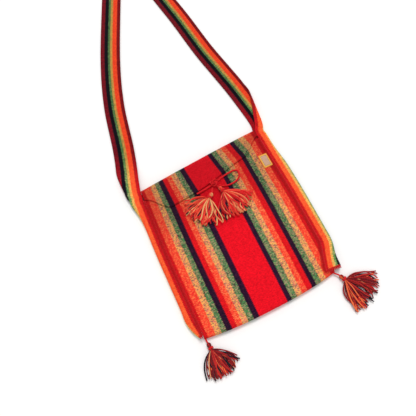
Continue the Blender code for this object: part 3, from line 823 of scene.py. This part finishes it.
def cloth_column(across):
    """The cloth's path at one place across it: flap, top fold, back, bottom fold and front."""
    top_radius = top_fold_radius(across)
    crown = BACK_Z + 2 * top_radius
    bottom_radius = bottom_fold_radius(across)
    top_centre = top_y(across) - top_radius
    bottom_centre = bottom_y(across) + bottom_radius
    path = []
    for step in range(FLAP_ROWS):
        share = step / FLAP_ROWS
        y = mix(flap_y(across), top_centre, share)
        x = cloth_x(across, y) + flap_pull(across, share)
        path.append((x, y, mix(front_z(across, y) + FLAP_LIFT, crown, ease(share))))
    for step in range(FOLD_ROWS):
        angle = math.pi * step / FOLD_ROWS
        y = top_centre + top_radius * math.sin(angle)
        x = cloth_x(across, y) + flap_pull(across, 1)
        path.append((x, y, BACK_Z + top_radius * (1 + math.cos(angle))))
    for step in range(BACK_ROWS):
        y = mix(top_centre, bottom_centre, step / BACK_ROWS)
        pull = flap_pull(across, 1 - ease(FLAP_PULL_FADE * step / BACK_ROWS))
        path.append((back_x(across, y) + pull, y, BACK_Z))
    for step in range(FOLD_ROWS):
        angle = math.pi * step / FOLD_ROWS
        y = bottom_centre - bottom_radius * math.sin(angle)
        path.append((cloth_x(across, y), y, BACK_Z + bottom_radius * (1 - math.cos(angle))))
    for step in range(FRONT_ROWS + 1):
        y = mix(bottom_centre, mouth_y(across), step / FRONT_ROWS)
        path.append((cloth_x(across, y), y, front_z(across, y)))
    return path


def make_cloth(material):
    """The long striped cloth, folded into front, back and flap."""
    columns = round(CLOTH_WIDTH / YARN_WIDTH / INNER_STRIDE) * INNER_STRIDE
    paths = [cloth_column(2 * column / columns - 1) for column in range(columns + 1)]
    grid = np.array(paths).transpose(1, 0, 2)
    # Painted shade: the cloth's colours grow darker towards the top, over the flap and the top of the back
    lit = [[1 - ease((point[1] - SHADE_START) / SHADE_LENGTH) for point in row] for row in grid]
    mesh = closed_sheet("body_cloth_woven", grid, CLOTH_THICKNESS, INNER_STRIDE, False, np.array(lit))
    made = add_piece("body_cloth_woven", mesh, material, ["body_cloth"])


def band_section(fold, places):
    """The band's section, folded lengthwise about one place: outward distance and height."""
    bend = math.pi * BAND_FOLD_RADIUS
    start = fold - bend / 2

    def path(place):
        turned = min(bend, max(0, place - start))
        angle = turned / BAND_FOLD_RADIUS
        straight = min(place, start) - max(0, place - start - bend)
        return straight + BAND_FOLD_RADIUS * math.sin(angle), -BAND_FOLD_RADIUS * (1 - math.cos(angle))

    found = [path(place) for place in places]
    lowest = min(height for _, height in found)
    return [(out, height - lowest) for out, height in found]


def corner_gather(y):
    start = bottom_y(1) + BAND_END_RISE + CORNER_LENGTH
    return 1 - CORNER_GATHER * min(1, max(0, (start - y) / CORNER_LENGTH)) ** CORNER_GATHER_POWER


def from_corner(side, route):
    return [(side * CLOTH_WIDTH / 2 + x, HALF_LENGTH + y) for x, y in route]


def loop_top():
    return Vector((LOOP_TOP[0], HALF_LENGTH + LOOP_TOP[1]))


def turn_axes():
    up = Vector((math.sin(LEFT_LEAN), math.cos(LEFT_LEAN)))
    down = Vector((-math.sin(RIGHT_LEAN), -math.cos(RIGHT_LEAN)))
    axis = (up + down).normalized()
    away = Vector((-axis.y, axis.x))
    return axis, away, up.dot(axis), up.dot(away)


def turn_length():
    _, _, slanted, straight = turn_axes()
    return math.pi * LOOP_RADIUS / straight, BAND_WIDTH / 2 * slanted / straight + LEAST_ROW


def on_turn(distance, across):
    """A point of the band near its turn: flat before it, round half a cylinder, and flat on top."""
    axis, away, slanted, straight = turn_axes()
    along_fold = slanted * distance - straight * across
    unrolled = straight * distance + slanted * across
    half_turn = math.pi * LOOP_RADIUS
    angle = min(half_turn, max(0, unrolled)) / LOOP_RADIUS
    reach = min(0, unrolled) - max(0, unrolled - half_turn) + LOOP_RADIUS * math.sin(angle)
    height = BAND_THICKNESS / 2 + LOOP_RADIUS * (1 - math.cos(angle))
    return Vector((*(loop_top() + axis * along_fold + away * reach), height))


def joint_at(side, y):
    """The room between cloth and band: a seam's width, and less above the seam."""
    above = ease((y - mouth_y(side) + SEAM_END_DROP) / JOINT_CLOSING_LENGTH)
    return JOINT * (1 - JOINT_CLOSING * above)


def leg_edge(side):
    """The inner edge of one gusset and strap leg, from the bottom up. side is -1 on the left."""
    side_x = cloth_x if side < 0 else back_x
    low = bottom_y(side) + BAND_END_RISE
    high = top_y(side)
    rows = [mix(low, high, step / GUSSET_ROWS) for step in range(GUSSET_ROWS + 1)]
    edge = [(side_x(side, y) + side * joint_at(side, y), y) for y in rows]
    route = LEFT_ROUTE if side < 0 else RIGHT_ROUTE
    reached = -turn_length()[1] if side < 0 else sum(turn_length())
    turn = on_turn(reached, side * BAND_WIDTH / 2).to_2d()
    strap = smooth_route([edge[-1], *from_corner(side, route), turn], STRAP_ROWS)[1:-1]
    return edge + [tuple(point) for point in strap]


def evenly(points, spacing):
    """The same line with its points a fixed distance apart."""
    line = np.array([tuple(point) for point in points])
    gone = np.concatenate([[0], np.cumsum(np.linalg.norm(np.diff(line, axis=0), axis=1))])
    count = max(2, round(gone[-1] / spacing) + 1)
    wanted = np.linspace(0, gone[-1], count)
    return [Vector(point) for point in np.stack([np.interp(wanted, gone, axis) for axis in line.T], 1)]


def leg_rows(side, edge, places):
    """Rows of points across one leg of the band, with how free of painted shade each row's colours are."""
    points = evenly(edge, FLOAT_LENGTH / 2)
    if side > 0:
        points = points[::-1]
    rows = []
    unshaded = []
    for index, point in enumerate(points):
        before = points[max(0, index - RUN_REACH)]
        after = points[min(len(points) - 1, index + RUN_REACH)]
        run = (after - before).normalized()
        outward = Vector((-run.y, run.x))
        y = point.y
        unfolded = ease((y - mouth_y(side) - UNFOLD_STARTS[side]) / UNFOLD_LENGTHS[side])
        folded_at = BAND_WIDTH / 2 + side * SIDE_SKEW * skew(y)
        bend = math.pi * BAND_FOLD_RADIUS / 2
        flat_at = -bend if side > 0 else BAND_WIDTH + bend
        turned = 0
        lift = 0
        if side > 0:
            turned = ease((bottom_y(1) + BAND_END_RISE + END_TURN_LENGTH - y) / END_TURN_LENGTH)
            gone = (point - points[0]).length / LOOP_SETTLE_LENGTH
            lift = LOOP_RADIUS * (1 + math.cos(math.pi * min(1, gone)))
        section = band_section(mix(mix(folded_at, flat_at, unfolded), END_TURN_FOLD, turned), places)
        anchor = section[-1][0] if side > 0 else section[0][0]
        gather = mix(corner_gather(y), 1, turned)
        reach = (max(out for out, _ in section) - anchor) * gather
        shift = turned * (END_TURN_REACH - reach)
        # Painted shade grows up the strap, from the top of the gusset
        unshaded.append(1 - ease((y - top_y(side)) / STRAP_SHADE_LENGTH))
        row = []
        for place, (out, height) in zip(places, section):
            over = turned * END_TURN_LIFT * max(0, 1 - (place / END_TURN_FOLD) ** 3)
            spot = point + outward * ((out - anchor) * gather + shift)
            row.append((*spot, BAND_THICKNESS / 2 + height + lift + over))
        rows.append(row)
    return rows, unshaded


def make_band(material):
    """The one band that is both gussets and the shoulder strap."""
    columns = round(BAND_WIDTH / YARN_WIDTH)
    places = [BAND_WIDTH * column / columns for column in range(columns + 1)]
    rows, unshaded = leg_rows(-1, leg_edge(-1), places)
    length, margin = turn_length()
    turn_rows = round((length + 2 * margin) / FLOAT_LENGTH * 2)
    for step in range(turn_rows + 1):
        distance = mix(-margin, length + margin, step / turn_rows)
        rows.append([tuple(on_turn(distance, place - BAND_WIDTH / 2)) for place in places])
        unshaded.append(0)
    more_rows, more_unshaded = leg_rows(1, leg_edge(1), places)
    grid = np.array(rows + more_rows)
    unshaded = np.array(unshaded + more_unshaded)[:, None]
    mesh = closed_sheet("strap_band_woven", grid, BAND_THICKNESS, 1, True, unshaded)
    made = add_piece("strap_band_woven", mesh, material, ["strap_band"])
    middle = grid[:, columns // 2]
    length = float(np.linalg.norm(np.diff(middle, axis=0), axis=1).sum())
    return np.array(rows), np.array(more_rows)


# Seams


def seam_line(side, edge):
    """Points in the joint beside one edge of the band, half a stitch apart."""
    low = bottom_y(side) + BAND_END_RISE + SEAM_END_RISE
    high = mouth_y(side) - SEAM_END_DROP
    kept = sorted((tuple(point) for point in edge if low < point[1] < high), key=lambda point: point[1])
    return evenly([(x - side * JOINT / 2, y, z) for x, y, z in kept], STITCH_PITCH / 2)


def make_seam(name, side, points, up, material, node):
    """Overcast stitches: a core thread in the joint, and slanting loops that cross it."""
    yarns = Yarns()
    yarns.add(points, [SEAM_RADIUS] * len(points), 0.3, sides=8, pitch=0.004)
    half_rows = 2
    for index in range(half_rows, len(points) - half_rows, 2):
        middle = points[index]
        run = (points[index + 1] - points[index - 1]).normalized()
        out = run.cross(Vector((0, 0, up))).normalized()
        path = []
        for step in range(STITCH_STEPS + 1):
            share = step / STITCH_STEPS * 2 - 1
            arch = SEAM_RADIUS + STITCH_RADIUS * (STITCH_ARCH - STITCH_ARCH_FALL * share**2)
            slant = run * (STITCH_PITCH * STITCH_SLANT * share)
            spot = middle + out * (STITCH_REACH * share) + slant + Vector((0, 0, up * arch))
            spot.z = max(spot.z, STITCH_RADIUS)
            path.append(spot)
        radii = [STITCH_RADIUS] * len(path)
        yarns.add(path, radii, 0.2 + 0.5 * ((index * 7) % 11) / 11, sides=6, pitch=0.003)
    add_piece(name, yarns.mesh(name), material, [node])


def make_seams(material, legs):
    """The four seams. The front ones also bind the band's ends."""
    for side_name, side, leg in (("left", -1, legs[0]), ("right", 1, legs[1])):
        front = seam_line(side, leg[:, 0])
        back = seam_line(side, leg[:, -1])
        end = leg[-1] if side > 0 else leg[0]
        bound = [Vector(point) for point in end[END_BOUND_COLUMNS[side] :: -1]]
        front = evenly(bound + front, STITCH_PITCH / 2)
        make_seam("seam_front_stitches_" + side_name, side, front, 1, material, "seam_front_" + side_name)
        make_seam("seam_back_stitches_" + side_name, side, back, -1, material, "seam_back_" + side_name)


# Label


def label_point(across, up, height):
    x = cloth_x(1, LABEL_CENTRE_Y) - LABEL_INSET - LABEL_WIDTH / 2 + across
    y = LABEL_CENTRE_Y + up
    place = (x - LEAN * y) / half_width(y)
    return x, y, front_z(place, y) + height


def label_material():
    """Fine weave with a yellow border round a plain field."""
    nodes = Nodes("label_weave", 0.05)
    across, up, _ = nodes.attribute("weave")
    half_width_cells = LABEL_COLUMNS / 2
    half_height_cells = LABEL_ROWS / 2
    side = nodes.math("ABSOLUTE", nodes.minus(across, half_width_cells))
    end = nodes.math("ABSOLUTE", nodes.minus(up, half_height_cells))
    from_side = nodes.minus(half_width_cells, side)
    from_end = nodes.minus(half_height_cells, end)
    inward = nodes.math("DIVIDE", nodes.math("MINIMUM", from_side, from_end), half_width_cells)
    wide = nodes.math("SINE", nodes.times(across, math.pi * 2))
    high = nodes.math("SINE", nodes.times(up, math.pi * 2))
    cells = nodes.times(wide, high)
    patches = nodes.noise(nodes.point(across, up), 0.22)
    # Painted shade: the field lighter on the weave cells' crests and darker in their hollows; the patches are
    # random tone
    colour = nodes.lit(nodes.ramp(inward, LABEL_COLOURS), 0.80, (patches, 0.28), (cells, 0.07))
    return nodes.finish(colour, cells, LABEL_BUMP)


def make_label(thread_material):
    """The label, slightly cupped between its stitches, and the thread that holds it."""
    rows = []
    for j in range(LABEL_ROWS + 1):
        row = []
        for i in range(LABEL_COLUMNS + 1):
            across = i / LABEL_COLUMNS - 0.5
            up = j / LABEL_ROWS - 0.5
            cup = LABEL_CUP * (1 - (2 * across) ** 2) * (1 - (2 * up) ** 2)
            height = CLOTH_THICKNESS / 2 + CLEARANCE + LABEL_THICKNESS / 2 + cup
            row.append(label_point(LABEL_WIDTH * across, LABEL_HEIGHT * up, height))
        rows.append(row)
    mesh = closed_sheet("label_woven", np.array(rows), LABEL_THICKNESS, 1, False, 1.0, raised_by=0.00002)
    made = add_piece("label_woven", mesh, label_material(), ["woven_label"])

    yarns = Yarns()
    out = LABEL_WIDTH / 2 - LABEL_STITCH_INSET
    up = LABEL_HEIGHT / 2 - LABEL_STITCH_INSET
    face = CLOTH_THICKNESS / 2 + CLEARANCE + LABEL_THICKNESS
    corners = [(-out, -up), (out, -up), (out, up), (-out, up)]
    for start, finish in zip(corners, corners[1:] + corners[:1]):
        stitches = round(math.dist(start, finish) / LABEL_STITCH_LENGTH)
        for stitch in range(stitches):
            path = []
            for step in range(5):
                share = (stitch + 0.15 + 0.7 * step / 4) / stitches
                arch = LABEL_STITCH_ARCH * math.sin(math.pi * step / 4)
                path.append(label_point(*(mix(a, b, share) for a, b in zip(start, finish)), face + arch))
            yarns.add(path, [LABEL_THREAD_RADIUS] * 5, 0.5, sides=6, pitch=0.002)
    mesh = yarns.mesh("label_stitches")
    add_piece("label_stitches", mesh, thread_material, ["label_stitching"])


# Tie


def from_top(place):
    return place[0], HALF_LENGTH - place[1]


def front_face_z(x, y):
    """The outer face of the front panel, or of the flap where it covers the front."""
    across = (x - LEAN * y) / half_width(y)
    over = ease((y - (flap_y(across) - FLAP_STEP_START)) / (FLAP_STEP_START - FLAP_STEP_END))
    return front_z(across, y) + CLOTH_THICKNESS / 2 + FLAP_LIFT * over


def floor_z(x, y):
    return 0.0


def laid(points, radius, face):
    return [Vector((x, y, face(x, y) + CLEARANCE + radius)) for x, y in points]


def dense(points):
    return evenly(smooth_route(points, 8), CORD_SPACING)


def cord_piece(name, points, radius, material, replaced):
    """A three-ply cord along a line of points."""
    yarns = Yarns()
    yarns.add(points, [radius] * len(points), 0.4, sides=18, pitch=CORD_TWIST, plies=3)
    return add_piece(name, yarns.mesh(name), material, [replaced])


def head_end(tassel, face):
    neck, along, _ = tassel_frame(tassel)
    place = neck - along * (HEAD_LENGTH + WRAP_LENGTH / 2 + CLEARANCE + CORD_CAP_GAP)
    return Vector((*place, face(*neck) + CLEARANCE + WRAP_RADIUS)), Vector((*along, 0))


def knot_points():
    """The knot's own turns, as a closed line pressed flat on the flap's edge."""
    x, y = from_top(KNOT_PLACE)
    corners = [(x + dx, y + dy) for dx in (-KNOT_REACH, KNOT_REACH) for dy in (-KNOT_REACH, KNOT_REACH)]
    flat_size = KNOT_SIZE * KNOT_FLATNESS
    middle = max(front_face_z(*corner) for corner in corners) + CLEARANCE + flat_size + KNOT_TUBE_RADIUS
    points = []
    for step in range(KNOT_POINTS):
        turn = 2 * math.pi * step / KNOT_POINTS
        wide = KNOT_SIZE * KNOT_LENGTHENING * (math.sin(turn) + 2 * math.sin(2 * turn))
        deep = flat_size * (math.cos(turn) - 2 * math.cos(2 * turn))
        points.append(Vector((x + wide, y + deep, middle - flat_size * math.sin(3 * turn))))
    return points


def make_tie(material):
    """The tie's loop and tail, its two short legs and the knot."""
    loop = dense(laid([from_top(place) for place in LOOP_ROUTE], TIE_RADIUS, front_face_z))
    tail = dense(laid([from_top(place) for place in TAIL_ROUTE], TIE_RADIUS, front_face_z))
    loop_piece = cord_piece("tie_loop", loop, TIE_RADIUS, material, "tie_cord_loop")
    tail_piece = cord_piece("tie_tail", tail, TIE_RADIUS, material, "tie_cord_tail")
    legs = (("left", LEFT_LEG_START, TIE_TASSEL_LEFT), ("right", RIGHT_LEG_START, TIE_TASSEL_RIGHT))
    for side, start, sizes in legs:
        first = laid([from_top(start)], TIE_RADIUS, front_face_z)[0]
        finish, along = head_end(tie_tassel(sizes), front_face_z)
        reached = finish + along * LEG_END_REACH
        line = dense([first, first.lerp(finish, LEG_BEND), finish - along * CORD_STRAIGHT, reached])
        cord_piece("tie_leg_" + side, line, TIE_RADIUS, material, "tie_cord_leg_" + side)
    yarns = Yarns()
    points = knot_points()
    radii = [KNOT_TUBE_RADIUS] * len(points)
    yarns.add(points, radii, 0.4, sides=16, pitch=CORD_TWIST, plies=3, cyclic=True)
    knot = yarns.mesh("tie_knot_turns")
    add_piece("tie_knot_turns", knot, material, ["tie_knot"])


# Tassels


def tie_tassel(tassel):
    return {**tassel, "neck": from_top(tassel["neck"])}


def corner_tassel(side, tassel):
    x, down = tassel["neck"]
    return {**tassel, "neck": (side * CLOTH_WIDTH / 2 + x, -HALF_LENGTH - down)}


def tassel_frame(tassel):
    heading = math.radians(tassel["heading"])
    along = Vector((math.sin(heading), -math.cos(heading)))
    return Vector(tassel["neck"]), along, Vector((-along.y, along.x))


def tassel_yarn(tassel, face, angle, filling, chance):
    """One yarn: over the head, through the waist and out in an arc across the fan."""
    neck, along, sideways = tassel_frame(tassel)
    waist_z = face(*neck) + CLEARANCE + WRAP_RADIUS
    behind = WRAP_LENGTH / 2 + CLEARANCE
    path = []
    radii = []
    inside = WAIST_RADIUS - YARN_RADIUS_AT_WAIST
    for back, size in HEAD_SECTIONS:
        out = max(inside * HEAD_CORE_SHARE, (HEAD_RADIUS - YARN_RADIUS_AT_WAIST) * size) * filling
        place = neck - along * (behind + HEAD_LENGTH * back) + sideways * out * math.cos(angle)
        path.append(Vector((*place, waist_z + out * math.sin(angle))))
        radii.append(YARN_RADIUS_AT_WAIST * HEAD_SWELL)
    for place_along in (-behind, behind):
        place = neck + along * place_along + sideways * inside * filling * math.cos(angle)
        path.append(Vector((*place, waist_z + inside * filling * math.sin(angle))))
        radii.append(YARN_RADIUS_AT_WAIST)
    out = math.cos(angle) * filling
    layer = (math.sin(angle) * filling + 1) / 2
    place = path[-1].to_2d()
    held = path[-1].z
    step_length = tassel["length"] * chance.uniform(*YARN_LENGTHS) / YARN_STEPS
    spread = math.radians(tassel["spread"])
    veer = math.radians(chance.uniform(-VEER, VEER))
    curl = math.radians(chance.uniform(-CURL, CURL))
    phase = chance.uniform(0, 6.28)
    thick = YARN_RADIUS * chance.uniform(*YARN_THICKNESSES)
    for step in range(1, YARN_STEPS + 1):
        share = step / YARN_STEPS
        turn = spread * out * mix(FLARE, TIP_SHARE, share) + veer
        turn += curl * share * math.sin(phase + CURL_RATE * share)
        place += (along * math.cos(turn) + sideways * math.sin(turn)) * step_length
        opened = ease(share * OPENING_RATE)
        radius = mix(YARN_RADIUS_AT_WAIST, thick, opened)
        room = TASSEL_THICKNESS * (1 - TIP_THINNING * share) - 2 * radius
        lowest = face(*place) + CLEARANCE + radius
        height = mix(held, lowest + room * layer, opened)
        path.append(Vector((*place, max(height, lowest))))
        radii.append(radius)
    return path, radii


def make_tassel(name, tassel, face, materials, seed):
    """A bundle of yarns with its wrapping."""
    chance = random.Random(seed)
    groups = [[chance.random() for _ in range(3)] for _ in range(COLOUR_GROUPS)]
    yarns = Yarns()
    for index in range(YARNS_IN_TASSEL):
        filling = math.sqrt((index + 0.5) / YARNS_IN_TASSEL)
        angle = index * GOLDEN_ANGLE + chance.uniform(-ANGLE_PLAY, ANGLE_PLAY)
        path, radii = tassel_yarn(tassel, face, angle, filling, chance)
        group = groups[int((math.cos(angle) * filling + 1) / 2 * COLOUR_GROUPS * BELOW_ONE)]
        number = chance.choice(group) if chance.random() < GROUP_SHARE else chance.random()
        yarns.add(path, radii, number * BELOW_ONE, sides=7, pitch=0.004, phase=chance.uniform(0, 3))
    mesh = yarns.mesh(name + "_strands")
    add_piece(name + "_strands", mesh, materials[0], [name + "_yarns"])

    neck, along, sideways = tassel_frame(tassel)
    centre = Vector((*neck, face(*neck) + CLEARANCE + WRAP_RADIUS))
    axis = Vector((*along, 0))
    side = Vector((*sideways, 0))
    wrap = Yarns()
    around = WAIST_RADIUS + CLEARANCE + WRAP_TURN_RADIUS
    line = []
    steps = WRAP_TURNS * WINDING_STEPS
    for step in range(steps + 1):
        turn = 2 * math.pi * step / WINDING_STEPS
        drift = (step / steps - 0.5) * (WRAP_LENGTH - 2 * WRAP_TURN_RADIUS)
        line.append(centre + axis * drift + (side * math.cos(turn) + Vector((0, 0, math.sin(turn)))) * around)
    wrap.add(line, [WRAP_TURN_RADIUS * WINDING_SWELL] * len(line), 0.4, sides=10, pitch=0.004, plies=2)
    wrap_name = name + "_winding"
    add_piece(wrap_name, wrap.mesh(wrap_name), materials[1], [name + "_wrap"])


def make_corner_cord(name, side, tassel, material):
    """The short cord from a bottom corner of the bag to its tassel's head."""
    finish, along = head_end(tassel, floor_z)
    across = side * (1 - 2 * CORNER_CORD_RADIUS / CLOTH_WIDTH)
    y = bottom_y(across) - CLOTH_THICKNESS / 2
    start = Vector((cloth_x(across, y), y + CORNER_CORD_START, BACK_Z + BAND_FOLD_RADIUS))
    below = start + Vector((0, -CORNER_CORD_DROP, 0))
    line = dense([start, below, finish - along * CORD_STRAIGHT, finish + along * CORNER_CORD_REACH])
    cord_piece(name + "_plied", line, CORNER_CORD_RADIUS, material, name)


def make_tassels(yarn, winding):
    tie = ((TIE_TASSEL_LEFT, "tie_tassel_left"), (TIE_TASSEL_RIGHT, "tie_tassel_right"))
    for seed, (sizes, name) in enumerate(tie):
        make_tassel(name, tie_tassel(sizes), front_face_z, (yarn[0], winding), seed)
    corner = (("left", -1, CORNER_TASSEL_LEFT), ("right", 1, CORNER_TASSEL_RIGHT))
    for seed, (side_name, side, sizes) in enumerate(corner, 10):
        tassel = corner_tassel(side, sizes)
        make_tassel("corner_tassel_" + side_name, tassel, floor_z, (yarn[1], winding), seed)
        make_corner_cord("corner_cord_" + side_name, side, tassel, winding)


make_camera()
red_yarn = yarn_material("tie_yarn", TIE_COLOURS, twists=3)
make_tie(red_yarn)
make_stage()
# Painted shade: darker copies of the cloth's colours for its top
shaded = dimmed(CLOTH_STRIPES, TOP_SHADE)
middle = CLOTH_WIDTH / 2 * MM_PER_METRE
make_cloth(weave_material("cloth_weave", CLOTH_STRIPES, shaded, middle, True))
legs = make_band(weave_material("band_weave", BAND_STRIPES, STRAP_SHADED_COLOURS, 0.0, False))
make_seams(yarn_material("seam_yarn", SEAM_COLOURS), legs)
make_label(yarn_material("label_thread", LABEL_THREAD_COLOURS))
tie_tassel_yarn = yarn_material("tie_tassel_yarn", TIE_TASSEL_COLOURS, shine=0.15)
corner_tassel_yarn = yarn_material("corner_tassel_yarn", CORNER_TASSEL_COLOURS, shine=0.15)
make_tassels((tie_tassel_yarn, corner_tassel_yarn), red_yarn)

bpy.context.scene.view_settings.view_transform = "Standard"
